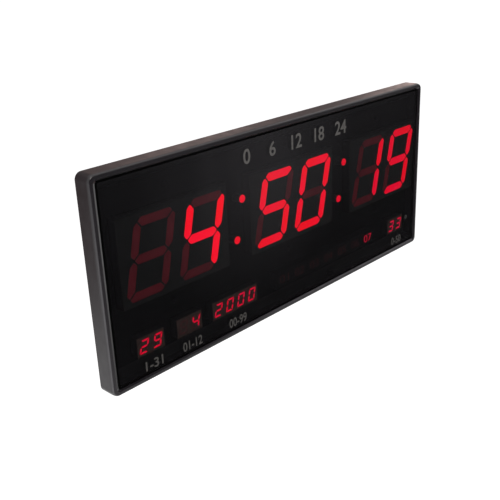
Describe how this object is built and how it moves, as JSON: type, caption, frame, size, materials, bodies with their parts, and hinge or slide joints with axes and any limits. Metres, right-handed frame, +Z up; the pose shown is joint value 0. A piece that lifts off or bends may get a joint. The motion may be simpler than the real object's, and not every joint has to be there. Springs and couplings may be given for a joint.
{
  "type": "digital wall clock",
  "caption": "Wide wall clock: red seven-segment time, calendar and temperature displays behind a smoked lens in a dark grey bezel, with a rear housing hung on keyholes.",
  "frame": {"origin": "middle of the rear housing's flat back face, on the wall", "axes": "+Z up, +Y into the wall, so the displays face -Y, and +X to the right as the clock is read"},
  "size_m": [0.3618, 0.028, 0.1508],
  "materials": {
    "bezel_plastic": "satin moulded",
    "cover_plastic": "fine grain",
    "lens_acrylic": "smoked, polished",
    "tape_foam": "foam",
    "board_laminate": "solder mask",
    "display_plastic": "matte ink",
    "display_resin": "diffusing resin",
    "lamp_resin": "diffusing resin",
    "chip_plastic": "moulded",
    "bright_steel": "plated",
    "inlet_plastic": "moulded",
    "button_plastic": "satin moulded",
    "screw_steel": "zinc plated"
  },
  "bodies": {
    "case": {"front_bezel": "bezel_plastic", "front_lens": "lens_acrylic", "lens_tape": "tape_foam", "main_board": "board_laminate", "hours_housing": "display_plastic", "hours_light_guide": "display_resin", "minutes_housing": "display_plastic", "minutes_light_guide": "display_resin", "seconds_housing": "display_plastic", "seconds_light_guide": "display_resin", "day_housing": "display_plastic", "day_light_guide": "display_resin", "month_housing": "display_plastic", "month_light_guide": "display_resin", "year_housing": "display_plastic", "year_light_guide": "display_resin", "temperature_housing": "display_plastic", "temperature_light_guide": "display_resin", "weekday_mask": "display_plastic", "weekday_light_guide": "display_resin", "colon_lamp_1": "lamp_resin", "colon_lamp_2": "lamp_resin", "colon_lamp_3": "lamp_resin", "colon_lamp_4": "lamp_resin", "microcontroller": "chip_plastic", "digit_driver_1": "chip_plastic", "digit_driver_2": "chip_plastic", "digit_driver_3": "chip_plastic", "temperature_sensor": "chip_plastic", "buzzer": "chip_plastic", "coin_cell_holder": "chip_plastic", "clock_crystal": "bright_steel", "coin_cell": "bright_steel", "dc_inlet": "inlet_plastic", "setting_switch_1": "chip_plastic", "setting_switch_2": "chip_plastic", "setting_switch_3": "chip_plastic", "setting_switch_4": "chip_plastic", "rear_cover": "cover_plastic", "cover_screw_1": "screw_steel", "cover_screw_2": "screw_steel", "cover_screw_3": "screw_steel", "cover_screw_4": "screw_steel", "cover_screw_5": "screw_steel", "cover_screw_6": "screw_steel", "cover_screw_7": "screw_steel", "cover_screw_8": "screw_steel", "board_screw_1": "screw_steel", "board_screw_2": "screw_steel", "board_screw_3": "screw_steel", "board_screw_4": "screw_steel", "board_screw_5": "screw_steel", "board_screw_6": "screw_steel"},
    "button_1": {"setting_button_1": "button_plastic"},
    "button_2": {"setting_button_2": "button_plastic"},
    "button_3": {"setting_button_3": "button_plastic"},
    "button_4": {"setting_button_4": "button_plastic"}
  },
  "joints": [
    {"name": "button_1_press", "type": "slide", "parent": "case", "child": "button_1", "axis": [0, 0, 1], "range_m": [0, 0.0005], "stiffness_N_per_m": 800},
    {"name": "button_2_press", "type": "slide", "parent": "case", "child": "button_2", "axis": [0, 0, 1], "range_m": [0, 0.0005], "stiffness_N_per_m": 800},
    {"name": "button_3_press", "type": "slide", "parent": "case", "child": "button_3", "axis": [0, 0, 1], "range_m": [0, 0.0005], "stiffness_N_per_m": 800},
    {"name": "button_4_press", "type": "slide", "parent": "case", "child": "button_4", "axis": [0, 0, 1], "range_m": [0, 0.0005], "stiffness_N_per_m": 800}
  ]
}
